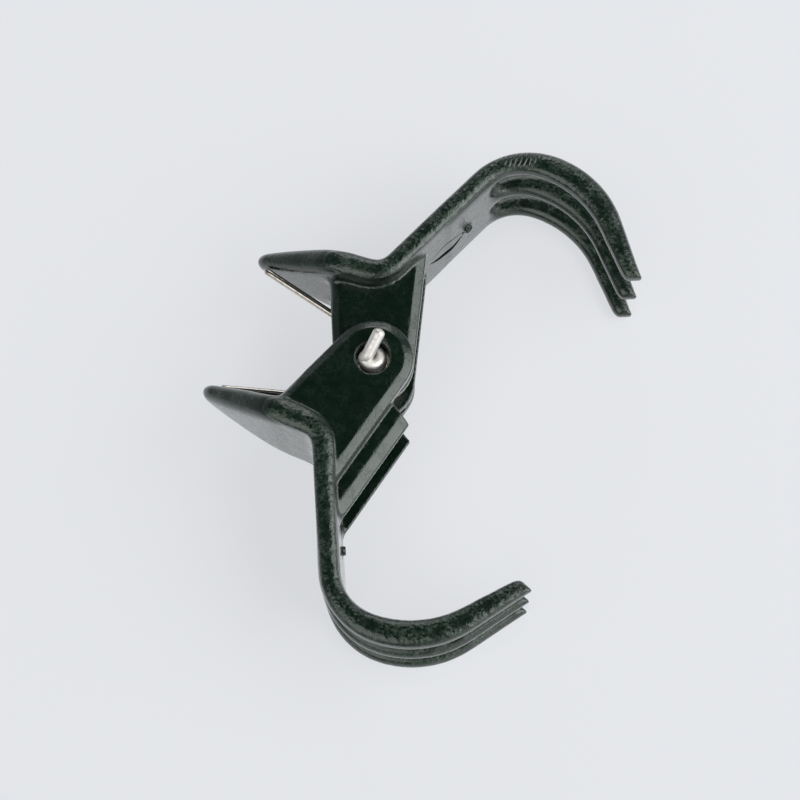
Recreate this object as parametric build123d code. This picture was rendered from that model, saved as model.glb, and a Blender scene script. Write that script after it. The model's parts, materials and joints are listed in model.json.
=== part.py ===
from build123d import *
import math
import os

os.makedirs("parts", exist_ok=True)

# Orchid clip: two moulded claws on a wound wire pin, with a torsion spring.
# Sizes are in millimetres and angles in degrees. The clip lies on its side:
# the hinge axis is Z, the tines point to +X and the finger pads to -X.
# Everything is drawn about the hinge and moved to the middle at the end.

# One claw, the upper one, in the pose of rest.
clip_width = 10.0
valley_x = -2.33
valley_y = 8.2
plate_angle = 66.0
claw_top = 22.55
plate_wall = 1.7
bow_radius = 6.6
shoulder_radius = 9.0
tine_fall_angle = 54.0
tine_straight = 5.7
tip_wall = 1.45
bow_wall = 2.2
inner_fall_angle = 50.0
inner_shoulder_radius = 8.9
valley_fillet = 1.3
bend_fillet = 3.5
tip_setback = 0.35
tip_rounding = 0.7

# Finger pad: a bowed tongue that narrows to a rounded point.
tongue_x = -13.4
tongue_y = 6.8
pad_bow_radius = 45.0
pad_root_wall = 1.75
pad_mid_wall = 2.0
tongue_wall = 1.0
taper_start_x = -6.4
tongue_point_rounding = 1.2
taper_corner_rounding = 5.0

# Tines: three at even pitch, the gaps close in half rounds.
tine_count = 3
tine_width = 1.3
slot_end_angle = 130.0
edge_break = 0.36

# Ears: stadium plates that carry the hinge.
ear_radius = 3.4
ear_pad_side_angle = 66.5
ear_tine_side_angle = 76.0
ear_pad_side_length = 9.2
ear_tine_side_length = 12.0
ear_root_cover = 0.6
outer_ear_inset = 0.5
outer_ear_wall = 1.2
ear_side_clearance = 0.2
inner_ear_wall = 1.1
ear_bevel_width = 0.75
ear_bevel_depth = 0.4

# Stiffening ribs of the lower claw, beside its ears.
rib_wall = 1.05
rib_height = 2.1
rib_foot_length = 2.1
rib_nose_length = 2.75
rib_top_length = 13.9
rib_root_length = 11.6
rib_root_depth = 0.6
rib_bevel_height = 0.95
rib_bevel_depth = 0.55

# Ejector mark on the inner face of each plate.
mark_radius = 0.35
mark_height = 0.25
mark_setback = 2.6

# Pin: wound wire with its near end bent up as a hook.
pin_wire = 0.9
wire_sides = 12
pin_coil_radius = 0.9
pin_pitch = 1.43
pin_clearance = 0.1
pin_far_end_inset = 0.5
hook_start_angle = 165.0
hook_start_inset = 0.55
hook_length = 2.15
hook_rise = 1.18
hook_end_share = 0.4

# Torsion spring between the inner ears.
spring_wire = 0.6
spring_coil_radius = 1.95
spring_turn_gap = 0.42
spring_side_clearance = 0.1
leg_angle = 15.8
leg_length = 13.4
leg_lean = 0.85

half_width = clip_width / 2
hole_radius = pin_coil_radius + pin_wire / 2 + pin_clearance
tine_pitch = (clip_width - tine_width) / (tine_count - 1)
tine_gap = tine_pitch - tine_width


def heading(angle):
    """Unit vector in the XY plane."""
    return Vector(math.cos(math.radians(angle)), math.sin(math.radians(angle)))


def prism(face, low, high):
    """A face in the XY plane, extruded between two heights."""
    return Pos(0, 0, low) * extrude(face, high - low)


# The claw's section: one closed line, tangent from the plate to the tine tip.
across_plate = Vector(math.sin(math.radians(plate_angle)), -math.cos(math.radians(plate_angle)))
valley = Vector(valley_x, valley_y)
bow_lift = bow_radius * (1 - math.cos(math.radians(plate_angle)))
plate_length = (claw_top - bow_lift - valley_y) / math.sin(math.radians(plate_angle))
plate_end = valley + heading(plate_angle) * plate_length
inner_plate_end = plate_end + across_plate * plate_wall
bend_y = valley_y - pad_root_wall
bend_run = (inner_plate_end.Y - bend_y) / math.sin(math.radians(plate_angle))
inner_bend = inner_plate_end - heading(plate_angle) * bend_run
bow_rise = claw_top - bow_wall - inner_plate_end.Y
inner_bow_radius = bow_rise / (1 - math.cos(math.radians(plate_angle)))

overrun = edge_break
tongue = Vector(tongue_x - overrun, tongue_y)
pad_chord = valley - tongue
pad_sag = pad_bow_radius - math.sqrt(pad_bow_radius**2 - (pad_chord.length / 2) ** 2)
pad_up = Vector(-pad_chord.Y, pad_chord.X).normalized()
pad_middle = (tongue + valley) * 0.5 + pad_up * pad_sag

pad_out = ThreePointArc(tongue, pad_middle, valley)
plate_out = Line(valley, plate_end)
bow_out = JernArc(plate_end, heading(plate_angle), bow_radius, -plate_angle)
shoulder_out = JernArc(bow_out @ 1, bow_out % 1, shoulder_radius, -tine_fall_angle)
tine_out = Line(shoulder_out @ 1, shoulder_out @ 1 + heading(-tine_fall_angle) * tine_straight)
across_tine = Vector(
    -math.sin(math.radians(tine_fall_angle)), -math.cos(math.radians(tine_fall_angle))
)
inner_tip = tine_out @ 1 + across_tine * tip_wall - heading(-tine_fall_angle) * tip_setback
bow_in = JernArc(inner_plate_end, heading(plate_angle), inner_bow_radius, -plate_angle)
shoulder_in = JernArc(bow_in @ 1, bow_in % 1, inner_shoulder_radius, -inner_fall_angle)
tongue_run = pad_out % 0
across_tongue = Vector(tongue_run.Y, -tongue_run.X)
inner_tongue = tongue + across_tongue * tongue_wall
inner_pad_middle = pad_middle - pad_up * pad_mid_wall
pad_in = ThreePointArc(inner_bend, inner_pad_middle, inner_tongue)
section = make_face(
    [
        pad_out,
        plate_out,
        bow_out,
        shoulder_out,
        tine_out,
        Line(tine_out @ 1, inner_tip),
        Line(inner_tip, shoulder_in @ 1),
        shoulder_in,
        bow_in,
        Line(inner_plate_end, inner_bend),
        pad_in,
        Line(inner_tongue, tongue),
    ]
)


def nearest(corners, point):
    """The corner of a section that lies at a point."""
    return corners.sort_by_distance(point)[0]


section = fillet(nearest(section.vertices(), valley), valley_fillet)
section = fillet(nearest(section.vertices(), inner_bend), bend_fillet)
section = fillet(nearest(section.vertices(), inner_tip), tip_rounding)

wall = prism(section, 0, clip_width)

# Plan of the pad: full width, then straight sides to a rounded point.
reach = clip_width * 3
full_length = reach - taper_start_x
full_part = Pos(taper_start_x + full_length / 2, half_width) * Rectangle(full_length, clip_width)
point_x = tongue_x + tongue_point_rounding
plan_point = Pos(point_x, half_width) * Circle(tongue_point_rounding)
plan = make_hull(full_part.edges() + plan_point.edges())
taper_ends = [
    nearest(plan.vertices(), Vector(taper_start_x, clip_width)),
    nearest(plan.vertices(), Vector(taper_start_x, 0)),
]
plan = fillet(taper_ends, taper_corner_rounding)
plan_block = extrude(Plane.XZ * plan, -reach)
wall = wall & plan_block

# Gaps between the tines: open at the tips, half round where they start.
bow_centre = plate_end + across_plate * bow_radius
slot_along = heading(slot_end_angle)
sweep_face = make_face(
    Polyline(
        bow_centre,
        bow_centre + slot_along * reach,
        bow_centre + slot_along * reach + Vector(reach * 2, 0),
        bow_centre + Vector(reach * 2, -reach),
        close=True,
    )
)
slot_plane = Plane(
    origin=(bow_centre.X, bow_centre.Y, 0), x_dir=(0, 0, 1), z_dir=(slot_along.X, slot_along.Y, 0)
)
for index in range(tine_count - 1):
    gap_low = tine_width + index * tine_pitch
    gap_high = gap_low + tine_gap
    gap = prism(sweep_face, gap_low, gap_high)
    gap_middle = (gap_low + gap_high) / 2
    round_end = extrude(slot_plane * Pos(gap_middle, 0) * Circle(tine_gap / 2), bow_radius * 2)
    wall = wall - gap - round_end

# The mould leaves no sharp edge on the side planes of the wall and its tines.
side_heights = [index * tine_pitch for index in range(tine_count)]
side_heights += [height + tine_width for height in side_heights]


def on_side_plane(edge):
    """True for an edge that lies flat in one of the side planes."""
    box = edge.bounding_box()
    flat = box.max.Z - box.min.Z < edge_break / 100
    return flat and any(abs(box.min.Z - height) < edge_break / 100 for height in side_heights)


wall = chamfer([edge for edge in wall.edges() if on_side_plane(edge)], edge_break)

# Ear outline: a round end about the hinge with two tangent sides.
pad_side = heading(180 - ear_pad_side_angle)
tine_side = heading(180 - ear_tine_side_angle)
pad_side_foot = Vector(-pad_side.Y, pad_side.X) * ear_radius
tine_side_foot = Vector(tine_side.Y, -tine_side.X) * ear_radius
pad_side_top = pad_side_foot + pad_side * ear_pad_side_length
tine_side_top = tine_side_foot + tine_side * ear_tine_side_length
ear_root = Vector(valley_x, valley_y - ear_root_cover)
ear_face = make_face(
    [
        Line(tine_side_top, tine_side_foot),
        ThreePointArc(tine_side_foot, Vector(0, -ear_radius), pad_side_foot),
        Line(pad_side_foot, pad_side_top),
        Line(pad_side_top, ear_root),
        Line(ear_root, tine_side_top),
    ]
)
hole = prism(Circle(hole_radius), -clip_width, clip_width * 2)


def mark():
    """The ejector mark, standing on the plate's inner face."""
    foot = inner_plate_end - heading(plate_angle) * mark_setback
    plane = Plane(
        origin=(foot.X, foot.Y, half_width), x_dir=(0, 0, 1), z_dir=(across_plate.X, across_plate.Y, 0)
    )
    return extrude(plane * Circle(mark_radius), mark_height, both=True)


outer_low = outer_ear_inset
outer_high = outer_ear_inset + outer_ear_wall
inner_low = outer_high + ear_side_clearance
inner_high = inner_low + inner_ear_wall


def ear_pair(low, high):
    """Two like ears, each with a wide bevel round its outer side."""
    ear = prism(ear_face, low, high)
    side = ear.faces().sort_by(Axis.Z)[0]
    ear = chamfer(side.edges(), ear_bevel_width, ear_bevel_depth, reference=side)
    return ear + mirror(ear, Plane.XY.offset(half_width))


def beside_ear(along, beyond):
    """A point along the ear's tine side and beyond it."""
    out = Vector(tine_side.Y, -tine_side.X)
    return tine_side_foot + tine_side * along + out * beyond


rib_face = make_face(
    Polyline(
        beside_ear(rib_foot_length + rib_root_depth, -rib_root_depth),
        beside_ear(rib_foot_length, 0),
        beside_ear(rib_nose_length, rib_height),
        beside_ear(rib_top_length, rib_height),
        beside_ear(rib_root_length, -rib_root_depth),
        close=True,
    )
)
rib = prism(rib_face, outer_high, outer_high + rib_wall)
rib_edge_middle = beside_ear((rib_nose_length + rib_top_length) / 2, rib_height)
rib_edge = rib.edges().sort_by_distance((rib_edge_middle.X, rib_edge_middle.Y, outer_high))[0]
rib_side = rib.faces().sort_by(Axis.Z)[0]
rib = chamfer(rib_edge, rib_bevel_height, rib_bevel_depth, reference=rib_side)
rib_pair = rib + mirror(rib, Plane.XY.offset(half_width))

upper_jaw = wall + ear_pair(inner_low, inner_high) + mark() - hole
lower_jaw_up = wall + ear_pair(outer_low, outer_high) + rib_pair + mark() - hole
lower_jaw = mirror(lower_jaw_up, Plane.XZ)


def join_arcs(points, headings):
    """Two tangent arcs between each pair of neighbouring points."""
    edges = []
    for number in range(len(points) - 1):
        first = points[number]
        last = points[number + 1]
        start = headings[number].normalized()
        finish = headings[number + 1].normalized()
        across = last - first
        both = start + finish
        turn = 2 * (1 - start.dot(finish))
        root = math.sqrt(across.dot(both) ** 2 + turn * across.dot(across))
        pull = (root - across.dot(both)) / turn
        middle = (first + last) * 0.5 + (start - finish) * (pull / 2)
        edges.append(TangentArc(first, middle, tangent=start))
        edges.append(TangentArc(middle, last, tangent=edges[-1] % 1))
    return edges


def coil(radius, pitch, first_height, from_angle, turn_angle, way):
    """Points and headings of a helix, a quarter turn or less apart."""
    steps = math.ceil(abs(turn_angle) / 90)
    points = []
    headings = []
    for step in range(steps + 1):
        swept = turn_angle * step / steps
        angle = math.radians(from_angle + way * swept)
        height = first_height + pitch * swept / 360
        points.append(Vector(radius * math.cos(angle), radius * math.sin(angle), height))
        climb = pitch / (2 * math.pi)
        headings.append(
            Vector(-way * radius * math.sin(angle), way * radius * math.cos(angle), climb)
        )
    return points, headings


def wire_tube(edges, wire):
    """A round wire along one unbroken line."""
    path = Wire(edges)
    start = Plane(origin=path @ 0, z_dir=path % 0)
    return sweep(start * RegularPolygon(wire / 2, wire_sides), path=path)


def least_gap(edges, wire):
    """Least distance between turns, less the wire, on points of the line."""
    path = Wire(edges)
    count = 900
    places = [path @ (number / count) for number in range(count + 1)]
    spacing = path.length / count
    skip = math.ceil(wire * 3 / spacing)
    least = None
    for number, place in enumerate(places):
        for other in places[number + skip :]:
            span = (place - other).length
            if least is None or span < least:
                least = span
    return least - wire


# The pin winds from its far end up to the hook. From +Z it turns clockwise.
pin_first = pin_far_end_inset + pin_wire / 2
pin_turn_angle = 360 * (clip_width - hook_start_inset - pin_first) / pin_pitch
pin_start_angle = hook_start_angle + pin_turn_angle
pin_points, pin_headings = coil(
    pin_coil_radius, pin_pitch, pin_first, pin_start_angle, pin_turn_angle, -1
)
hook_run = heading(hook_start_angle - 90) * hook_length + Vector(0, 0, hook_rise)
pin_headings[-1] = hook_run
pin_edges = join_arcs(pin_points, pin_headings)
pin_edges.append(Line(pin_points[-1], pin_points[-1] + hook_run))
hinge_pin = wire_tube(pin_edges, pin_wire)
hook_end = hinge_pin.faces().sort_by_distance(pin_points[-1] + hook_run)[0]
hinge_pin = chamfer(hook_end.edges(), pin_wire / 2 * hook_end_share)

# The spring: near leg, turns and far leg are one line. From +Z the wire runs
# clockwise from the upper leg, over the coil, and away as the lower leg.
# As many whole turns as the room between the ears takes, spread over all of it.
part_turn_angle = 2 * (90 - leg_angle)
spring_low = inner_high + spring_side_clearance + spring_wire / 2
spring_depth = clip_width - 2 * spring_low
closest_pitch = spring_wire + spring_turn_gap
full_turns = math.floor(spring_depth / closest_pitch - part_turn_angle / 360)
spring_turn_angle = 360 * full_turns + part_turn_angle
spring_pitch = 360 * spring_depth / spring_turn_angle
spring_points, spring_headings = coil(
    spring_coil_radius, spring_pitch, spring_low, leg_angle - 90, spring_turn_angle, 1
)
near_lean = Vector(leg_length * math.cos(math.radians(leg_angle)), 0, 0)
leg_run = near_lean.X
leg_climb = leg_length * math.sin(math.radians(leg_angle))
lower_leg_end = spring_points[0] + Vector(-leg_run, -leg_climb, leg_lean)
upper_leg_end = spring_points[-1] + Vector(-leg_run, leg_climb, -leg_lean)
spring_headings[0] = spring_points[0] - lower_leg_end
spring_headings[-1] = upper_leg_end - spring_points[-1]
spring_edges = [Line(lower_leg_end, spring_points[0])]
spring_edges += join_arcs(spring_points, spring_headings)
spring_edges.append(Line(spring_points[-1], upper_leg_end))
torsion_spring = wire_tube(spring_edges, spring_wire)

# Middle of the clip to the origin.
jaw_box = (upper_jaw + lower_jaw).bounding_box()
shift = -(jaw_box.min.X + jaw_box.max.X) / 2

nodes = {
    "upper_jaw": upper_jaw,
    "lower_jaw": lower_jaw,
    "hinge_pin": hinge_pin,
    "torsion_spring": torsion_spring,
}
print("hinge axis at x =", round(shift, 4))
print("pin least gap to itself", round(least_gap(pin_edges, pin_wire), 3))
print("spring least gap to itself", round(least_gap(spring_edges, spring_wire), 3))
for name, shape in nodes.items():
    placed = Pos(shift, 0, 0) * shape
    solid = placed.solids()[0]
    box = solid.bounding_box()
    print(
        name,
        len(placed.solids()),
        round(solid.volume, 2),
        [round(value, 3) for value in (*box.min, *box.max)],
    )
    export_step(solid, f"parts/{name}.step")
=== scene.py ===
# %% [markdown]
# # Orchid clip
#
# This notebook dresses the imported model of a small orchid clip. The clip is
# two dark green moulded claws, hinged on a wound steel pin, with a torsion
# spring between them. The frame comes first: it gives the places of all
# parts, so everything made here is fitted to it.

# %% Load the frame
import json
import math

import bmesh
import bpy
from mathutils import Matrix, Vector


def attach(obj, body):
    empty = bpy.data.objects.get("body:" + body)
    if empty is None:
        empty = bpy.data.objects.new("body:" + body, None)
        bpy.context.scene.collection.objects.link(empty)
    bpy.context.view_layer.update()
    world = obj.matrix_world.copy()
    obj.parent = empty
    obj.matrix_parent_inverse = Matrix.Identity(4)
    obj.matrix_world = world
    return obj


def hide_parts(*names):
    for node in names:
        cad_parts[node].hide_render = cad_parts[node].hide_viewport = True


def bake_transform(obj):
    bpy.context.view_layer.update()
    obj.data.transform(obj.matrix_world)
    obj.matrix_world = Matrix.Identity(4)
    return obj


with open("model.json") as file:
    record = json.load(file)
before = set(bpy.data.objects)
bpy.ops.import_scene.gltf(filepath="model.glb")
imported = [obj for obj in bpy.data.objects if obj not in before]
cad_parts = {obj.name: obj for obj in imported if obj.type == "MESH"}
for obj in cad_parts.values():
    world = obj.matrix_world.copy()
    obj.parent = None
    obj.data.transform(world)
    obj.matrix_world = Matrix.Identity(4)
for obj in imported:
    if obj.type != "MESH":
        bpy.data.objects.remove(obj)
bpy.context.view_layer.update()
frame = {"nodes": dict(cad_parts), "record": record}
print("nodes", list(frame["nodes"]))

# %% [markdown]
# ## Sizes
#
# Sizes are written in millimetres, as on a drawing, and turned to metres by
# one function. The hinge axis is the centre from which the clip is measured,
# so a second function moves a place from the hinge to the frame.

# %% Millimetres and the hinge
MM_PER_METRE = 1000
HINGE_X = frame["record"]["behaviour"]["joints"][0]["pos_m"][0] * MM_PER_METRE
CLIP_WIDTH = 10.0
MIDDLE = CLIP_WIDTH / 2


def metres(*values):
    """A place or size in millimetres, as metres."""
    return Vector([value / MM_PER_METRE for value in values])


def from_hinge(x, y, z):
    """A place in millimetres from the hinge axis, in the frame."""
    return metres(x + HINGE_X, y, z)


print("hinge axis at x", round(HINGE_X, 3), "mm")

# %% [markdown]
# ## Camera
#
# The picture looks down on the side of the clip, from about 15 cm, so the
# near edges are clearly larger than the far ones. The three directions of
# the camera and its place are set as one matrix, which is how a measured
# camera is best written down. A lens of 81 mm on the usual 36 mm sensor
# gives the field of view.

# %% Place the camera
LENS = 81.0
SENSOR_WIDTH = 36.0
NEAREST_SEEN = 0.005
CAMERA_RIGHT = Vector((0.9378, 0.3465, -0.0232))
CAMERA_AHEAD = Vector((-0.1278, 0.2822, -0.9508))
CAMERA_PLACE = (22.53, -44.91, CLIP_WIDTH + 141.40)

camera_data = bpy.data.cameras.new("camera")
camera_data.lens = LENS
camera_data.sensor_width = SENSOR_WIDTH
camera_data.clip_start = NEAREST_SEEN
camera = bpy.data.objects.new("camera", camera_data)
bpy.context.collection.objects.link(camera)
camera_right = CAMERA_RIGHT.normalized()
camera_ahead = CAMERA_AHEAD - camera_right * CAMERA_AHEAD.dot(camera_right)
camera_ahead.normalize()
camera_up = camera_right.cross(camera_ahead)
turn = Matrix((camera_right, camera_up, -camera_ahead)).transposed().to_4x4()
camera.matrix_world = Matrix.Translation(from_hinge(*CAMERA_PLACE)) @ turn
bpy.context.scene.camera = camera
print("camera at", [round(value, 4) for value in camera.location])

# %% [markdown]
# ## Colours and nodes
#
# Colours are picked as sRGB hex values, as a designer reads them from a
# swatch, and one function turns them into the linear numbers that the
# renderer needs. A second function adds a node with its settings and links.
# An input may be a number, an output socket, or a whole node, which stands
# for its first output. So each material below reads as a short list.


# %% Colours and a node helper
def colour(hex_text):
    """An sRGB hex colour as linear red, green, blue and alpha."""
    parts = [int(hex_text[place : place + 2], 16) / 255 for place in (1, 3, 5)]
    linear = [part / 12.92 if part <= 0.04045 else ((part + 0.055) / 1.055) ** 2.4 for part in parts]
    return (*linear, 1.0)


def add_node(tree, kind, settings=None, inputs=None):
    """Adds a node, sets its options, and sets or links its inputs."""
    node = tree.nodes.new(kind)
    for name, value in (settings or {}).items():
        setattr(node, name, value)
    for name, value in (inputs or {}).items():
        if isinstance(value, bpy.types.Node):
            value = value.outputs[0]
        if isinstance(value, bpy.types.NodeSocket):
            tree.links.new(value, node.inputs[name])
        else:
            node.inputs[name].default_value = value
    return node


def new_material(name):
    """An empty node material and its tree."""
    material = bpy.data.materials.new(name)
    material.use_nodes = True
    material.node_tree.nodes.clear()
    return material, material.node_tree


print("mid grey is", round(colour("#808080")[0], 3), "in linear light")

# %% [markdown]
# ## Short names
#
# A few kinds of node and a few options come up again and again, so they get
# short names. KEPT means that a result is kept between 0 and 1. SOFT_STEP
# makes a Map Range node go from one value to the other with soft ends, and
# keeps to them outside. AS_TEXTURE makes a Mapping node lay its axes at the
# given place, turn and size. A Mix node of colours takes its two colours as
# inputs 6 and 7 and gives output 2, because the ones before are for numbers
# and vectors.

# %% Kinds of node and their options
MATH = "ShaderNodeMath"
VECTOR_MATH = "ShaderNodeVectorMath"
RANGE = "ShaderNodeMapRange"
MIX = "ShaderNodeMix"
NOISE = "ShaderNodeTexNoise"
MAPPING = "ShaderNodeMapping"
SPLIT = "ShaderNodeSeparateXYZ"
PRINCIPLED = "ShaderNodeBsdfPrincipled"
SURFACE_OUTPUT = "ShaderNodeOutputMaterial"

TIMES = {"operation": "MULTIPLY"}
TIMES_PLUS = {"operation": "MULTIPLY_ADD"}
TIMES_PLUS_KEPT = {"operation": "MULTIPLY_ADD", "use_clamp": True}
MINUS = {"operation": "SUBTRACT"}
MINUS_KEPT = {"operation": "SUBTRACT", "use_clamp": True}
LARGER = {"operation": "MAXIMUM"}
UNSIGNED = {"operation": "ABSOLUTE"}
SOFT_STEP = {"interpolation_type": "SMOOTHSTEP"}
OF_COLOURS = {"data_type": "RGBA"}
AS_TEXTURE = {"vector_type": "TEXTURE"}
print("short names for", MATH, VECTOR_MATH, RANGE, MIX, NOISE, MAPPING, SPLIT)

# %% [markdown]
# ## Floor
#
# A plain pale floor carries the clip. To the camera and in reflections it
# glows gently in its own colour, so the background stays even, and the rest
# of it is matt paper that takes the shadow. The plastic mirrors it at a low
# angle, which makes the thin light lines along the tines.

# %% Pale paper
FLOOR_SIZE = 8
PAPER = colour("#EBEDF1")
GLOW_SHARE = 0.73

bpy.ops.mesh.primitive_plane_add(size=FLOOR_SIZE, location=(0, 0, 0))
floor = bpy.context.object
floor.name = "floor"
floor_paint, tree = new_material("pale_studio_paper")
path = add_node(tree, "ShaderNodeLightPath")
seen = add_node(tree, MATH, LARGER, {0: path.outputs["Is Camera Ray"], 1: path.outputs["Is Glossy Ray"]})
seen_or_through = add_node(tree, MATH, LARGER, {0: seen, 1: path.outputs["Is Transmission Ray"]})
glow_part = add_node(tree, MATH, TIMES, {0: seen_or_through, 1: GLOW_SHARE})
paper = add_node(tree, "ShaderNodeBsdfDiffuse", None, {"Color": PAPER})
glow = add_node(tree, "ShaderNodeEmission", None, {"Color": PAPER, "Strength": 1.0})
both = add_node(tree, "ShaderNodeMixShader", None, {0: glow_part, 1: paper, 2: glow})
add_node(tree, SURFACE_OUTPUT, None, {"Surface": both})
floor.data.materials.append(floor_paint)
print("floor of", FLOOR_SIZE, "m")

# %% [markdown]
# ## World
#
# Glossy dark plastic shows what it mirrors, so the room is drawn in a few
# soft areas. It is pale at the horizon and dark overhead, which keeps the
# flat faces that look up nearly black. A bright wall stands to the right and
# catches the rounded edges on that side. A small white card above the near
# side makes the bent end of the pin shine.

# %% A room of soft areas
HORIZON = colour("#A3A8AC")
HALF_WAY_UP = colour("#6A6F73")
OVERHEAD = colour("#26292B")
HALF_WAY = 0.5
OVERHEAD_FROM = 0.80
WALL = colour("#FBFCFD")
WALL_WAY = (0.97, -0.22, 0.0)
WALL_EDGE = {"From Min": 0.45, "From Max": 0.85}
CARD = (1.5, 1.5, 1.47, 1.0)
CARD_WAY = (-0.25, -0.6, 0.76)
CARD_EDGE = {"From Min": 0.85, "From Max": 0.95}

world = bpy.data.worlds.new("studio")
bpy.context.scene.world = world
world.use_nodes = True
tree = world.node_tree
tree.nodes.clear()
direction = add_node(tree, "ShaderNodeTexCoord").outputs["Generated"]
height = add_node(tree, SPLIT, None, {0: direction})
ramp = add_node(tree, "ShaderNodeValToRGB", None, {0: height.outputs["Z"]})
ramp.color_ramp.elements[0].position = 0.0
ramp.color_ramp.elements[0].color = HORIZON
ramp.color_ramp.elements[1].position = OVERHEAD_FROM
ramp.color_ramp.elements[1].color = OVERHEAD
ramp.color_ramp.elements.new(HALF_WAY).color = HALF_WAY_UP
sky = ramp.outputs[0]
for way, light, edge in ((WALL_WAY, WALL, WALL_EDGE), (CARD_WAY, CARD, CARD_EDGE)):
    towards = add_node(tree, VECTOR_MATH, {"operation": "DOT_PRODUCT"}, {0: direction, 1: way})
    share = add_node(tree, RANGE, SOFT_STEP, {"Value": towards.outputs["Value"], **edge})
    sky = add_node(tree, MIX, OF_COLOURS, {"Factor": share, 6: sky, 7: light}).outputs[2]
back = add_node(tree, "ShaderNodeBackground", None, {"Color": sky, "Strength": 1.0})
add_node(tree, "ShaderNodeOutputWorld", None, {"Surface": back})
print("world of", len(tree.nodes), "nodes")

# %% [markdown]
# ## Lamps
#
# A wide softbox on the right draws the light bands along the bevels of the
# ears. A smaller one behind lifts the far edges off the floor. Area lamps
# are chosen because their shadows are soft, as under a studio's cloth.


# %% Two softboxes
def soft_lamp(name, place, width, length, power):
    """A rectangular area lamp that points at the clip, in metres and watts."""
    lamp_data = bpy.data.lights.new(name, "AREA")
    lamp_data.shape = "RECTANGLE"
    lamp_data.size = width
    lamp_data.size_y = length
    lamp_data.energy = power
    lamp = bpy.data.objects.new(name, lamp_data)
    bpy.context.collection.objects.link(lamp)
    lamp.location = place
    lamp.rotation_euler = Vector(place).to_track_quat("Z", "Y").to_euler()
    print(name, power, "W")


soft_lamp("side_softbox", place=(0.37, 0.10, 0.315), width=0.56, length=0.40, power=1.6)
soft_lamp("back_softbox", place=(-0.12, 0.42, 0.26), width=0.26, length=0.26, power=0.35)

# %% [markdown]
# ## Tools for shaping
#
# Every operator acts on all that is selected, so one helper clears the
# selection and picks a single piece. Another adds a modifier with its
# settings and applies it at once, so that only plain mesh is left.


# %% Pick a piece, apply a modifier
def pick(piece):
    """Makes a piece the only selected and active object."""
    bpy.ops.object.select_all(action="DESELECT")
    piece.select_set(True)
    bpy.context.view_layer.objects.active = piece


def apply_modifier(piece, kind, **settings):
    """Adds a modifier, sets it and applies it."""
    modifier = piece.modifiers.new(kind.lower(), kind)
    for name, value in settings.items():
        setattr(modifier, name, value)
    pick(piece)
    bpy.ops.object.modifier_apply(modifier=modifier.name)


# %% [markdown]
# ## Where a claw is rounded
#
# Each claw is one moulding of dark green plastic: pad, plate, three tines and
# two ears. Its exact shape is in the frame, but its edges there are plain
# chamfers, while the real mould was polished by hand and leaves every edge of
# the wall and the tines round. The ears' bevels and the cut tips of the tines
# stay crisp. So a function says for each place how much it is rounded: fully
# on the rims of the wall, on the tines and on the pad, and not at all on the
# ears or at the tips.

# %% How soft a place is
EAR_INSET = 0.47
RIM_FADE = 0.1
TINE_START_Y = 13.0
TINE_FADE_Y = 0.8
TINE_START_X = 0.5
TINE_FULL_X = 2.0
PAD_START_X = -5.0
PAD_FADE_X = 1.0
TIP = Vector((18.977, 14.229))
TINE_ANGLE = math.radians(-54)
TINE_WAY = Vector((math.cos(TINE_ANGLE), math.sin(TINE_ANGLE)))
CRISP_TIP = 0.9
CRISPEST_SHARE = 0.4


def share_between(value, low, high):
    """0 below low, 1 above high, and even between them."""
    return min(1.0, max(0.0, (value - low) / (high - low)))


def softness(place):
    """How much a place on a claw is rounded. The place is in metres, in the frame."""
    x = place.x * MM_PER_METRE - HINGE_X
    y = abs(place.y * MM_PER_METRE)
    z = place.z * MM_PER_METRE
    from_side = min(z, CLIP_WIDTH - z)
    rim = 1 - share_between(from_side, EAR_INSET - RIM_FADE, EAR_INSET)
    past_plate = share_between(y, TINE_START_Y, TINE_START_Y + TINE_FADE_Y)
    tines = past_plate * share_between(x, TINE_START_X, TINE_FULL_X)
    pad = 1 - share_between(x, PAD_START_X - PAD_FADE_X, PAD_START_X)
    soft = max(rim, tines, pad)
    to_tip = (TIP - Vector((x, y))).dot(TINE_WAY)
    return soft * share_between(to_tip, CRISP_TIP * CRISPEST_SHARE, CRISP_TIP)


print("softness at the hinge", softness(from_hinge(0, 0, MIDDLE)))

# %% [markdown]
# ## The two moulded claws
#
# A bevel modifier can't round edges that meet in so many ways, so the claw is
# given a new skin. A voxel remesh of a merged copy gives even small squares,
# and smoothing that skin rounds the edges and leaves flat faces flat. The
# smoothing follows a vertex group with the softness of each place. It also
# thins the tines a little, so the same group swells them back, and the side
# that lies on the floor is pressed flat again.

# %% A rounded copy of a claw
# Blender takes the merging distance and the voxel in metres.
MERGE_DISTANCE = 0.000002
VOXEL = 0.00013
SMOOTHING = 0.5
SOFT_PASSES = 110
SWELL = 0.09
LAST_PASSES = 2


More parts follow.
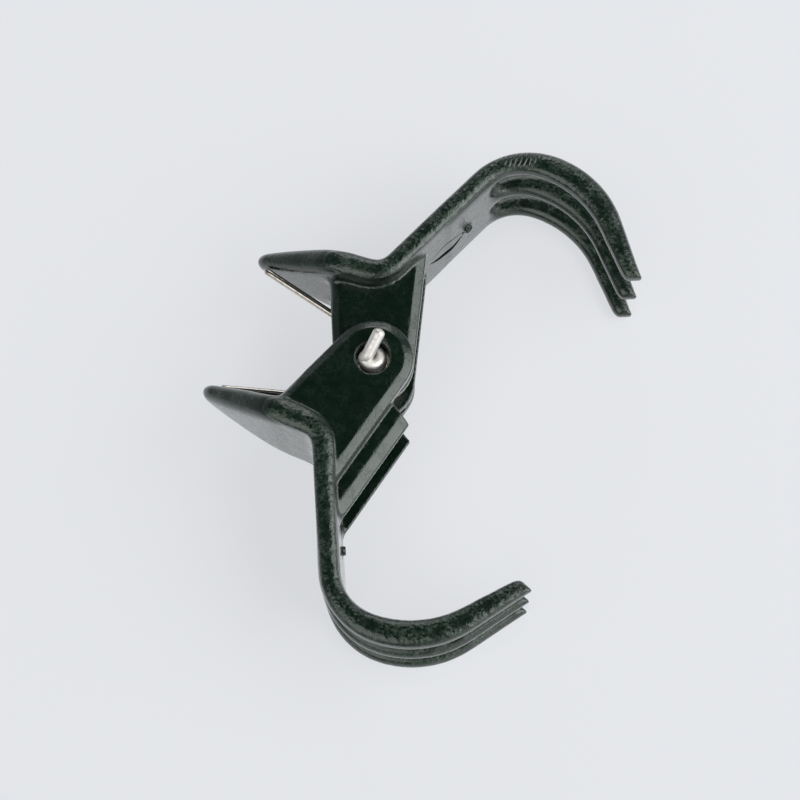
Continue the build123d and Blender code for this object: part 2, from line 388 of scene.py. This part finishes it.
def moulded_claw(node_name, piece_name):
    """A claw with the soft edges of a moulding."""
    piece = bpy.data.objects.new(piece_name, frame["nodes"][node_name].data.copy())
    bpy.context.collection.objects.link(piece)
    piece.data.materials.clear()
    pick(piece)
    bpy.ops.object.mode_set(mode="EDIT")
    bpy.ops.mesh.select_all(action="SELECT")
    bpy.ops.mesh.remove_doubles(threshold=MERGE_DISTANCE)
    bpy.ops.object.mode_set(mode="OBJECT")
    apply_modifier(piece, "REMESH", mode="VOXEL", voxel_size=VOXEL, use_smooth_shade=True)
    group = piece.vertex_groups.new(name="rounded")
    for vertex in piece.data.vertices:
        group.add([vertex.index], softness(vertex.co), "REPLACE")
    apply_modifier(piece, "SMOOTH", factor=SMOOTHING, iterations=SOFT_PASSES, vertex_group="rounded")
    swell = SWELL / MM_PER_METRE
    apply_modifier(piece, "DISPLACE", strength=swell, mid_level=0.0, vertex_group="rounded")
    apply_modifier(piece, "SMOOTH", factor=SMOOTHING, iterations=LAST_PASSES)
    piece.vertex_groups.clear()
    for vertex in piece.data.vertices:
        vertex.co.z = max(vertex.co.z, 0.0)
    print(piece_name, len(piece.data.polygons), "faces")
    return piece


upper_claw = moulded_claw("upper_jaw", "upper_claw_moulding")
lower_claw = moulded_claw("lower_jaw", "lower_claw_moulding")

# %% [markdown]
# ## Ejector marks
#
# A steel pin pushes each claw out of the mould and leaves a small ring on the
# inside of the plate. It starts as a short cone. Its top is inset, pushed
# in to leave a rim, and bevelled, and the whole is turned to stand on the
# plate. The place is written once and mirrored for the lower claw.

# %% Two small rings
PLATE_ANGLE = math.radians(66)
MARK_FOOT = Vector((2.811, 15.568))
MARK_FOOT_RADIUS = 0.54
MARK_TOP_RADIUS = 0.36
MARK_LENGTH = 0.84
MARK_SIDES = 28
MARK_RIM = 0.11
MARK_DEPTH = 0.14
MARK_BEVEL = 0.03
MARK_BEVEL_STEPS = 2
LOOKS_UP = 0.9
SMOOTH_ANGLE = math.radians(50)


def ejector_mark(piece_name, side):
    """A ring on a plate's inner face. side is 1 for the upper claw and -1 for the lower."""
    bpy.ops.object.select_all(action="DESELECT")
    bpy.ops.mesh.primitive_cone_add(
        vertices=MARK_SIDES,
        radius1=MARK_FOOT_RADIUS / MM_PER_METRE,
        radius2=MARK_TOP_RADIUS / MM_PER_METRE,
        depth=MARK_LENGTH / MM_PER_METRE,
    )
    piece = bpy.context.object
    piece.name = piece_name
    bpy.ops.object.mode_set(mode="EDIT")
    bpy.ops.mesh.select_mode(type="FACE")
    bpy.ops.mesh.select_all(action="DESELECT")
    shell = bmesh.from_edit_mesh(piece.data)
    for face in shell.faces:
        face.select = face.normal.z > LOOKS_UP
    bmesh.update_edit_mesh(piece.data)
    # The top sinks by the whole depth, and its middle rises again by a third of it.
    for lift in (-MARK_DEPTH, MARK_DEPTH / 3):
        bpy.ops.mesh.inset(thickness=MARK_RIM / MM_PER_METRE)
        bpy.ops.transform.translate(value=metres(0, 0, lift))
    bpy.ops.object.mode_set(mode="OBJECT")
    bevel = MARK_BEVEL / MM_PER_METRE
    apply_modifier(piece, "BEVEL", width=bevel, segments=MARK_BEVEL_STEPS, limit_method="ANGLE")
    bpy.ops.object.shade_smooth_by_angle(angle=SMOOTH_ANGLE)
    out = Vector((math.sin(PLATE_ANGLE), -side * math.cos(PLATE_ANGLE), 0))
    foot = from_hinge(MARK_FOOT.x, side * MARK_FOOT.y, MIDDLE)
    piece.data.transform(Matrix.Translation(foot) @ out.to_track_quat("Z", "Y").to_matrix().to_4x4())
    print(piece_name, len(piece.data.polygons), "faces")
    return piece


upper_mark = ejector_mark("upper_ejector_mark", 1)
lower_mark = ejector_mark("lower_ejector_mark", -1)

# %% [markdown]
# ## Wire
#
# A wire is best made as a curve with a round bevel, because a curve keeps one
# thickness through every bend. Its path is a list of places. Near an end the
# thickness follows a quarter circle, so that the end looks ground round, and
# the curve is then made a mesh.

# %% A wire along a path
WIRE_ROUNDNESS = 5
LEAST_END = 0.02


def wire(piece_name, places, thickness, round_start, round_end):
    """A round wire through places in millimetres from the hinge, with rounded ends."""
    curve = bpy.data.curves.new(piece_name, "CURVE")
    curve.dimensions = "3D"
    curve.bevel_depth = thickness / 2 / MM_PER_METRE
    curve.bevel_resolution = WIRE_ROUNDNESS
    curve.use_fill_caps = True
    line = curve.splines.new("POLY")
    line.points.add(len(places) - 1)
    run = [0.0]
    for number in range(1, len(places)):
        run.append(run[-1] + (places[number] - places[number - 1]).length)
    for number, place in enumerate(places):
        line.points[number].co = (*from_hinge(*place), 1.0)
        line.points[number].radius = 1.0
        for length, away in ((round_start, run[number]), (round_end, run[-1] - run[number])):
            if away < length:
                line.points[number].radius = math.sqrt(max(LEAST_END, 1 - (1 - away / length) ** 2))
    line.use_smooth = True
    piece = bpy.data.objects.new(piece_name, curve)
    bpy.context.collection.objects.link(piece)
    pick(piece)
    bpy.ops.object.convert(target="MESH")
    piece = bpy.context.object
    bpy.ops.object.shade_smooth_by_angle(angle=SMOOTH_ANGLE)
    print(piece_name, len(piece.data.polygons), "faces,", round(run[-1], 1), "mm of wire")
    return piece


def around(radius, degrees, height, centre=(0.0, 0.0)):
    """A place at an angle about an axis beside the hinge axis or on it."""
    angle = math.radians(degrees)
    return Vector((centre[0] + radius * math.cos(angle), centre[1] + radius * math.sin(angle), height))


print("a wire has", 2 * WIRE_ROUNDNESS + 4, "sides")

# %% [markdown]
# ## The wound hinge pin
#
# The pin is no plain rod: it is steel wire wound close on a mandrel, and its
# last turn is bent up as a hook that keeps it from sliding out. The path is
# counted out turn by turn from the far side up. One smooth bend leads from
# the last turn into the straight hook, which leans over the ear.

# %% The pin: close turns and a hook
STEPS_PER_TURN = 24
PIN_WIRE = 1.06
PIN_RADIUS = 0.68
PIN_CENTRE = (-0.13, 0.13)
PIN_PITCH = 1.12
PIN_LIFT = 0.5
PIN_LOW = PIN_LIFT + PIN_WIRE / 2
PIN_HIGH = 9.16
PIN_START_ROUNDING = 0.15
HOOK_FROM = 228.0
HOOK_FOOT = Vector((-0.44, 0.04, 9.62))
HOOK_END = Vector((-0.03, 2.14, 10.74))
HOOK_PULL = 0.32
HOOK_BEND_STEPS = 10
HOOK_STEPS = 24
HOOK_ROUNDING = 0.42


def bend(start, start_way, end, end_way, pull, steps):
    """Places along one smooth bend between two runs of wire, both ends left out."""
    first = start + start_way.normalized() * pull
    second = end - end_way.normalized() * pull
    places = []
    for step in range(1, steps):
        part = step / steps
        rest = 1 - part
        places.append(
            start * rest**3 + first * (3 * rest**2 * part) + second * (3 * rest * part**2) + end * part**3
        )
    return places


pin_degrees = 360 * (PIN_HIGH - PIN_LOW) / PIN_PITCH
pin_steps = round(pin_degrees / 360 * STEPS_PER_TURN)
pin_places = []
for step in range(pin_steps + 1):
    turned = pin_degrees * (1 - step / pin_steps)
    pin_height = PIN_LOW + (PIN_HIGH - PIN_LOW) * step / pin_steps
    pin_places.append(around(PIN_RADIUS, HOOK_FROM + turned, pin_height, PIN_CENTRE))
leaving = pin_places[-1] - pin_places[-2]
pin_places += bend(pin_places[-1], leaving, HOOK_FOOT, HOOK_END - HOOK_FOOT, HOOK_PULL, HOOK_BEND_STEPS)
pin_places += [HOOK_FOOT.lerp(HOOK_END, step / HOOK_STEPS) for step in range(HOOK_STEPS + 1)]
pin = wire("hinge_pin_wire", pin_places, PIN_WIRE, PIN_START_ROUNDING, HOOK_ROUNDING)

# %% [markdown]
# ## The torsion spring
#
# The spring lies round the pin between the inner ears. It has 2.4 turns, and
# each end runs out as a long straight leg that presses on the inside of one
# pad. Both legs leave the turns towards the pads, so the angle of the legs
# sets how much is turned beyond two full turns. The same wire helper makes
# leg, turns and leg in one line. The legs end in a cut, slightly rounded face.

# %% The spring: leg, turns, leg
SPRING_WIRE = 0.6
SPRING_RADIUS = 1.95
SPRING_LOW = 3.4
SPRING_HIGH = CLIP_WIDTH - SPRING_LOW
FULL_TURNS = 2
LEG_ANGLE = 15.8
LEG_LENGTH = 13.4
LEG_LEAN = 0.85
LEG_STEPS = 40
LEG_ROUNDING = 0.1

spring_degrees = 360 * FULL_TURNS + 2 * (90 - LEG_ANGLE)
spring_steps = round(spring_degrees / 360 * STEPS_PER_TURN)
leg_along = LEG_LENGTH * math.cos(math.radians(LEG_ANGLE))
leg_aside = LEG_LENGTH * math.sin(math.radians(LEG_ANGLE))
turns = []
for step in range(spring_steps + 1):
    part = step / spring_steps
    spring_height = SPRING_LOW + (SPRING_HIGH - SPRING_LOW) * part
    turns.append(around(SPRING_RADIUS, LEG_ANGLE - 90 + spring_degrees * part, spring_height))
lower_end = turns[0] + Vector((-leg_along, -leg_aside, LEG_LEAN))
upper_end = turns[-1] + Vector((-leg_along, leg_aside, -LEG_LEAN))
lower_leg = [lower_end.lerp(turns[0], step / LEG_STEPS) for step in range(LEG_STEPS)]
upper_leg = [turns[-1].lerp(upper_end, (step + 1) / LEG_STEPS) for step in range(LEG_STEPS)]
spring_places = lower_leg + turns + upper_leg
spring = wire("torsion_spring_wire", spring_places, SPRING_WIRE, LEG_ROUNDING, LEG_ROUNDING)

# %% [markdown]
# ## Moulded plastic
#
# The claws are injection-moulded polypropylene, pigmented a green that is
# nearly black, with the polished skin of the mould. Seen flat on it is dark,
# and at a low angle its skin mirrors the pale paper. All patterns read Object
# coordinates, turned to millimetres, so 1 in a pattern's scale is 1 per mm.
# The first layer is the pigment, which drifts slowly between two greens, as
# the melt flowed.


# %% Millimetre coordinates and the pigment
def in_millimetres(tree):
    """Object coordinates, scaled so that patterns are sized in millimetres."""
    in_metres = add_node(tree, "ShaderNodeTexCoord").outputs["Object"]
    return add_node(tree, MAPPING, None, {"Vector": in_metres, "Scale": [MM_PER_METRE] * 3})


DRIFTS_PER_MM = 0.35
DEEP_GREEN = colour("#07160F")
LIGHTER_GREEN = colour("#0C2117")

jaw_plastic, tree = new_material("moulded_green_polypropylene")
place = in_millimetres(tree)
drift = add_node(tree, NOISE, None, {"Vector": place, "Scale": DRIFTS_PER_MM, "Detail": 2.0})
greens = add_node(tree, MIX, OF_COLOURS, {"Factor": drift, 6: DEEP_GREEN, 7: LIGHTER_GREEN})
print("the pigment drifts over some", round(1 / DRIFTS_PER_MM, 1), "mm")

# %% [markdown]
# ## Scuffs
#
# Handling leaves fine pale scuffs. They come from two noises: one for the
# scuffs themselves, and a coarser one that gathers them in patches. A single
# noise would spread them evenly, which real wear never does.

# %% Scuffs in patches
SCUFFS_PER_MM = 4.0
SCUFF_STEP = {"From Min": 0.40, "From Max": 0.72}
PATCHES_PER_MM = 0.7
PATCH_STEP = {"From Min": 0.38, "From Max": 0.60, "To Min": 0.15}

scuffs = add_node(
    tree, NOISE, None, {"Vector": place, "Scale": SCUFFS_PER_MM, "Detail": 6.0, "Roughness": 0.65}
)
patches = add_node(tree, NOISE, None, {"Vector": place, "Scale": PATCHES_PER_MM, "Detail": 2.0})
dots = add_node(tree, RANGE, SOFT_STEP, {"Value": scuffs, **SCUFF_STEP})
patch = add_node(tree, RANGE, SOFT_STEP, {"Value": patches, **PATCH_STEP})
patched = add_node(tree, MATH, TIMES, {0: dots, 1: patch})
print("scuffs", 1 / SCUFFS_PER_MM, "mm across, in patches of", round(1 / PATCHES_PER_MM, 1), "mm")

# %% [markdown]
# ## Where the scuffs and the painted edge highlight lie
#
# Most scuffs lie on edges, which the mesh's own pointiness finds, and the
# pale colour there is also a painted highlight along the edges. The two
# sides of the clip rub against pot and stake, and so do those faces of the
# tines that look the same way, so they carry many too. The flat ears lie
# deeper and stay clean. Each place is found by a coordinate or a normal, and
# a soft step at its border.

# %% Edges, sides and tines
EDGE_STEP = {"From Min": 0.505, "From Max": 0.56}
SIDE_STEP = {"From Min": 4.56, "From Max": 4.72}
FLAT_STEP = {"From Min": 0.3, "From Max": 0.7}
TINE_STEP = {"From Min": 14.5, "From Max": 16.5}
RUBBED_STEP = {"To Min": 0.01, "To Max": 0.62}

shape = add_node(tree, "ShaderNodeNewGeometry")
# The pale colour on these edges is partly wear and partly a painted highlight.
edge = add_node(tree, RANGE, SOFT_STEP, {"Value": shape.outputs["Pointiness"], **EDGE_STEP})
axes = add_node(tree, SPLIT, None, {0: place})
from_middle = add_node(tree, MATH, MINUS, {0: axes.outputs["Z"], 1: MIDDLE})
off_middle = add_node(tree, MATH, UNSIGNED, {0: from_middle})
on_side = add_node(tree, RANGE, SOFT_STEP, {"Value": off_middle, **SIDE_STEP})
facing = add_node(tree, SPLIT, None, {0: shape.outputs["Normal"]})
sideways = add_node(tree, MATH, UNSIGNED, {0: facing.outputs["Z"]})
lies_flat = add_node(tree, RANGE, SOFT_STEP, {"Value": sideways, **FLAT_STEP})
aside = add_node(tree, MATH, UNSIGNED, {0: axes.outputs["Y"]})
near_tines = add_node(tree, RANGE, SOFT_STEP, {"Value": aside, **TINE_STEP})
on_tines = add_node(tree, MATH, TIMES, {0: lies_flat, 1: near_tines})
rubbed = add_node(tree, MATH, LARGER, {0: on_side, 1: on_tines})
rubbed_share = add_node(tree, RANGE, SOFT_STEP, {"Value": rubbed, **RUBBED_STEP})
print("rubbed faces show", RUBBED_STEP["To Max"], "of the scuffs, others", RUBBED_STEP["To Min"])

# %% [markdown]
# ## Wear and painted edge highlight
#
# Scuffs and places are multiplied and added up to one amount of wear, which
# on the edges is partly real wear and partly a painted highlight. It mixes a
# pale green-grey over the pigment, which is what scraped polypropylene turns to.

# %% One amount of wear and painted edge highlight
EDGE_SCUFF_AND_HIGHLIGHT_SHARE = 0.9
SCUFF_AND_HIGHLIGHT_GREEN = colour("#58685B")

# On the edges the pale green-grey is partly wear and partly a painted highlight; on the faces it is wear.
edge_scuffs_and_highlight = add_node(tree, MATH, TIMES, {0: patched, 1: edge})
on_faces = add_node(tree, MATH, TIMES, {0: patched, 1: rubbed_share})
wear_and_edge_highlight = add_node(tree, MATH, TIMES_PLUS_KEPT, {0: edge_scuffs_and_highlight, 1: EDGE_SCUFF_AND_HIGHLIGHT_SHARE, 2: on_faces})
worn_and_edge_highlit = add_node(tree, MIX, OF_COLOURS, {"Factor": wear_and_edge_highlight, 6: greens.outputs[2], 7: SCUFF_AND_HIGHLIGHT_GREEN})
print("edges show", EDGE_SCUFF_AND_HIGHLIGHT_SHARE, "of the scuffs")

# %% [markdown]
# ## Gloss
#
# The skin is smooth, but not evenly so: its roughness changes over half a
# millimetre, and scuffs are rougher than clean plastic. That breaks up the
# reflections, which would otherwise look like glass.

# %% Uneven gloss
SKIN_PER_MM = 1.6
GLOSS_STEP = {"From Min": 0.3, "From Max": 0.7, "To Min": 0.22, "To Max": 0.34}
SCUFF_ROUGHNESS = 0.3

skin = add_node(tree, NOISE, None, {"Vector": place, "Scale": SKIN_PER_MM, "Detail": 5.0, "Roughness": 0.6})
clean_gloss = add_node(tree, RANGE, SOFT_STEP, {"Value": skin, **GLOSS_STEP})
worn_gloss = add_node(tree, MATH, TIMES_PLUS_KEPT, {0: wear_and_edge_highlight, 1: SCUFF_ROUGHNESS, 2: clean_gloss})
print("roughness", GLOSS_STEP["To Min"], "to", GLOSS_STEP["To Max"], "where clean")

# %% [markdown]
# ## The flow line
#
# The melt flowed past the ejector mark and closed again behind it. That
# leaves a fine line like a narrow leaf on the inner face of the plate. A
# Mapping node lays coordinates on the plate in which the leaf runs from -1 to
# 1 along it and across it. Both claws come from like moulds, so the sign of Y
# is taken off first and one leaf serves both.

# %% Coordinates on the plate
LEAF_LONG = 2.25
LEAF_WIDE = 0.95
LEAF_TO_MARK = 0.25
LEAF_DROP = 0.35

folded = add_node(
    tree, "ShaderNodeCombineXYZ", None, {"X": axes.outputs["X"], "Y": aside, "Z": axes.outputs["Z"]}
)
up_the_plate = Vector((math.cos(PLATE_ANGLE), math.sin(PLATE_ANGLE)))
leaf_middle = MARK_FOOT - up_the_plate * (LEAF_LONG + LEAF_TO_MARK)
leaf_place = add_node(
    tree,
    MAPPING,
    AS_TEXTURE,
    {
        "Vector": folded,
        "Location": (leaf_middle.x + HINGE_X, leaf_middle.y, MIDDLE - LEAF_DROP),
        "Rotation": (0.0, 0.0, PLATE_ANGLE),
        "Scale": (LEAF_LONG, 1.0, LEAF_WIDE),
    },
)
leaf = add_node(tree, SPLIT, None, {0: leaf_place})
print("flow line", 2 * LEAF_LONG, "mm long and", 2 * LEAF_WIDE, "mm wide")

# %% [markdown]
# ## The leaf's two halves
#
# In these coordinates each half is the curve 1 - x * x, so the line is where
# the distance across equals that. The lower half is a broad line and the
# upper half a fine one, and both are broadest in the middle. The line keeps a
# least width, because a distance can't be divided by nothing. It ends at the
# leaf's two points and stays on the face of the plate.

# %% A line along the curve
HALVES_STEP = {"From Min": -0.1, "From Max": 0.1, "To Min": 0.5, "To Max": 0.12}
LEAST_LINE = 0.02
LINE_STEP = {"From Min": 1.0, "From Max": 0.4}
PLATE_STEP = {"From Min": 0.45, "From Max": 0.35}
POINTS_STEP = {"From Min": 1.0, "From Max": 0.8}

along_squared = add_node(tree, MATH, TIMES, {0: leaf.outputs["X"], 1: leaf.outputs["X"]})
curve_height = add_node(tree, MATH, MINUS_KEPT, {0: 1.0, 1: along_squared})
across = add_node(tree, MATH, UNSIGNED, {0: leaf.outputs["Z"]})
past_line = add_node(tree, MATH, MINUS, {0: across, 1: curve_height})
off_line = add_node(tree, MATH, UNSIGNED, {0: past_line})
broadest = add_node(tree, RANGE, SOFT_STEP, {"Value": leaf.outputs["Z"], **HALVES_STEP})
broad_here = add_node(tree, MATH, TIMES, {0: curve_height, 1: broadest})
line_width = add_node(tree, MATH, LARGER, {0: broad_here, 1: LEAST_LINE})
in_widths = add_node(tree, MATH, {"operation": "DIVIDE"}, {0: off_line, 1: line_width})
on_line = add_node(tree, RANGE, SOFT_STEP, {"Value": in_widths, **LINE_STEP})
off_plate = add_node(tree, MATH, UNSIGNED, {0: leaf.outputs["Y"]})
on_plate = add_node(tree, RANGE, SOFT_STEP, {"Value": off_plate, **PLATE_STEP})
between_points = add_node(tree, RANGE, SOFT_STEP, {"Value": along_squared, **POINTS_STEP})
on_leaf = add_node(tree, MATH, TIMES, {0: on_plate, 1: between_points})
flow = add_node(tree, MATH, TIMES, {0: on_line, 1: on_leaf})
print("the material has", len(tree.nodes), "nodes so far")

# %% [markdown]
# ## Filed ridges
#
# On the upper claw's bow, fine ridges cross the side face where the mould was
# filed. They are the bands of a wave texture, kept to a flat oval around one
# place. A wave of scale 1 has a band each 0.314 mm, so 0.8 gives 0.39 mm.

# %% Ridges on the bow
RIDGE_SCALE = 0.8
RIDGE_MIDDLE = Vector((5.6, 21.0))
RIDGE_ANGLE = math.radians(20)
RIDGE_REACH = (2.6, 0.9, 0.6)
RIDGE_STEP = {"From Min": 1.0, "From Max": 0.5}

ridges = add_node(
    tree,
    "ShaderNodeTexWave",
    {"wave_type": "BANDS", "bands_direction": "X"},
    {"Vector": place, "Scale": RIDGE_SCALE, "Distortion": 1.2, "Detail": 2.0, "Detail Scale": 2.0},
)
ridge_place = add_node(
    tree,
    MAPPING,
    AS_TEXTURE,
    {
        "Vector": place,
        "Location": (RIDGE_MIDDLE.x + HINGE_X, RIDGE_MIDDLE.y, CLIP_WIDTH),
        "Rotation": (0.0, 0.0, RIDGE_ANGLE),
        "Scale": RIDGE_REACH,
    },
)
ridge_away = add_node(tree, VECTOR_MATH, {"operation": "LENGTH"}, {0: ridge_place})
ridge_share = add_node(tree, RANGE, SOFT_STEP, {"Value": ridge_away.outputs["Value"], **RIDGE_STEP})
filed = add_node(tree, MATH, TIMES, {0: ridges.outputs["Fac"], 1: ridge_share})
print("ridges over", 2 * RIDGE_REACH[0], "mm of the bow")

# %% [markdown]
# ## Relief
#
# All small heights are added up and go through one bump: the grain of the
# skin, the scuffs that are scraped into it, soft dents on the outer sides,
# the ridges and the flow line. Each has a factor for its share. The distance
# is kept to hundredths of a millimetre, as on a real moulding.

# %% One height for the bump
DENTS_PER_MM = 1.9
SCUFF_HEIGHT = -0.7
DENT_HEIGHT = 5.0
RIDGE_HEIGHT = 3.5
FLOW_HEIGHT = -3.0
BUMP_STRENGTH = 0.45
BUMP_DISTANCE = 0.00004

dents = add_node(tree, NOISE, None, {"Vector": place, "Scale": DENTS_PER_MM, "Detail": 3.0})
side_dents = add_node(tree, MATH, TIMES, {0: dents, 1: on_side})
relief = skin
for mark, factor in (
    (patched, SCUFF_HEIGHT),
    (side_dents, DENT_HEIGHT),
    (filed, RIDGE_HEIGHT),
    (flow, FLOW_HEIGHT),
):
    relief = add_node(tree, MATH, TIMES_PLUS, {0: mark, 1: factor, 2: relief})
bumped = add_node(
    tree, "ShaderNodeBump", None, {"Height": relief, "Strength": BUMP_STRENGTH, "Distance": BUMP_DISTANCE}
)
print("bump distance", BUMP_DISTANCE * MM_PER_METRE, "mm")

# %% [markdown]
# ## Dirt
#
# The ejector mark is rough from the steel pin's end and holds specks of dirt,
# and the flow line holds dirt too. Dirt is nearly black. The specks take the
# low parts of the scuffs' own noise, near the foot of the mark.

# %% Dirt in the mark and the line
DIRT = colour("#060A08")
DIRT_ROUGHNESS = 0.6
MARK_STEP = {"From Min": 0.75, "From Max": 0.65}
SPECK_STEP = {"From Min": 0.52, "From Max": 0.44}

mark_place = (MARK_FOOT.x + HINGE_X, MARK_FOOT.y, MIDDLE)
from_mark = add_node(tree, VECTOR_MATH, {"operation": "DISTANCE"}, {0: folded, 1: mark_place})
at_mark = add_node(tree, RANGE, SOFT_STEP, {"Value": from_mark.outputs["Value"], **MARK_STEP})
specks = add_node(tree, RANGE, SOFT_STEP, {"Value": scuffs, **SPECK_STEP})
on_mark = add_node(tree, MATH, TIMES, {0: at_mark, 1: specks})
dirty = add_node(tree, MATH, LARGER, {0: flow, 1: on_mark})
dirty_colour = add_node(tree, MIX, OF_COLOURS, {"Factor": dirty, 6: worn_and_edge_highlit.outputs[2], 7: DIRT})
dirty_gloss = add_node(tree, MATH, TIMES_PLUS_KEPT, {0: dirty, 1: DIRT_ROUGHNESS, 2: worn_gloss})
print("dirt within", MARK_STEP["From Min"], "mm of the mark")

# %% [markdown]
# ## The plastic put together
#
# The shader is plastic of IOR 1.5 under a smooth coat, which stands for the
# polished skin, with a faint green tint in what it mirrors. Dirt covers the
# gloss, so coat and mirroring fade where it lies.

# %% Shader of the plastic
PLASTIC_IOR = 1.5
SKIN_ROUGHNESS = 0.1
SKIN_TINT = colour("#DDF0E2")
PLAIN_SPECULAR = 0.5

clean = add_node(tree, MATH, MINUS_KEPT, {0: 1.0, 1: dirty})
mirroring = add_node(tree, MATH, TIMES, {0: clean, 1: PLAIN_SPECULAR})
shade = add_node(
    tree,
    PRINCIPLED,
    None,
    {
        "Base Color": dirty_colour.outputs[2],
        "Roughness": dirty_gloss,
        "IOR": PLASTIC_IOR,
        "Specular IOR Level": mirroring,
        "Specular Tint": SKIN_TINT,
        "Coat Weight": clean,
        "Coat Roughness": SKIN_ROUGHNESS,
        "Coat IOR": PLASTIC_IOR,
        "Normal": bumped,
        "Coat Normal": bumped,
    },
)
add_node(tree, SURFACE_OUTPUT, None, {"Surface": shade})
print(jaw_plastic.name, "of", len(tree.nodes), "nodes")

# %% [markdown]
# ## Steel wire
#
# Both wires are spring steel with a nickel plating. The pin is tumbled and
# looks satin and pale. The spring is drawn harder and mirrors more. Fine
# drawing marks and a slight uneven plating show as changes in tone, gloss
# and height, all from one noise with marks of a third of a millimetre.

# %% Two wires
DRAWING_MARKS_PER_MM = 3.0
TONE_STEP = {"From Min": 0.35, "From Max": 0.75}
WIRE_GLOSS_STEP = {"From Min": 0.3, "From Max": 0.7}
WIRE_BUMP = {"Strength": 0.3, "Distance": 0.00002}


def plated_wire(name, pale, dark, smoothest, roughest):
    """A nickel-plated wire: a metal whose gloss changes from spot to spot."""
    material, tree = new_material(name)
    place = in_millimetres(tree)
    marks = add_node(tree, NOISE, None, {"Vector": place, "Scale": DRAWING_MARKS_PER_MM, "Detail": 5.0})
    darker = add_node(tree, RANGE, SOFT_STEP, {"Value": marks, **TONE_STEP})
    tones = add_node(tree, MIX, OF_COLOURS, {"Factor": darker, 6: colour(pale), 7: colour(dark)})
    gloss_values = {"Value": marks, **WIRE_GLOSS_STEP, "To Min": smoothest, "To Max": roughest}
    gloss = add_node(tree, RANGE, SOFT_STEP, gloss_values)
    lift = add_node(tree, "ShaderNodeBump", None, {"Height": marks, **WIRE_BUMP})
    shade = add_node(
        tree,
        PRINCIPLED,
        None,
        {"Base Color": tones.outputs[2], "Metallic": 1.0, "Roughness": gloss, "Normal": lift},
    )
    add_node(tree, SURFACE_OUTPUT, None, {"Surface": shade})
    print(name, "roughness", smoothest, "to", roughest)
    return material


pin_steel = plated_wire("satin_nickel_plated_wire", "#FDFBF7", "#EFEBE4", 0.46, 0.6)
spring_steel = plated_wire("bright_nickel_plated_spring_wire", "#D8D3CC", "#B9AFA2", 0.14, 0.24)

# %% [markdown]
# ## Joining the pieces to the frame
#
# Each piece stands for the node of the frame that has its shape. The claws
# and the pin ride on a body, and the ejector marks are extra and ride on the
# claws. The spring crosses the joint: its place is baked into its mesh, and
# it rides on no body.

# %% Ride, replace and paint
for piece, node, material, slot in (
    (upper_claw, "upper_jaw", jaw_plastic, "jaw_plastic"),
    (lower_claw, "lower_jaw", jaw_plastic, "jaw_plastic"),
    (pin, "hinge_pin", pin_steel, "spring_wire"),
    (spring, "torsion_spring", spring_steel, "spring_wire"),
):
    piece.data.materials.clear()
    piece.data.materials.append(material)
    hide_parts(node)
    print(piece.name, "stands for", node)
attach(upper_claw, "upper_jaw")
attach(lower_claw, "lower_jaw")
for mark, body in ((upper_mark, "upper_jaw"), (lower_mark, "lower_jaw")):
    mark.data.materials.append(jaw_plastic)
    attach(mark, body)
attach(pin, "lower_jaw")
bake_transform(spring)

# %% [markdown]
# ## Finish
#
# The plain view transform keeps the colours as they were picked.

# %% Finish
bpy.context.scene.view_settings.view_transform = "Standard"
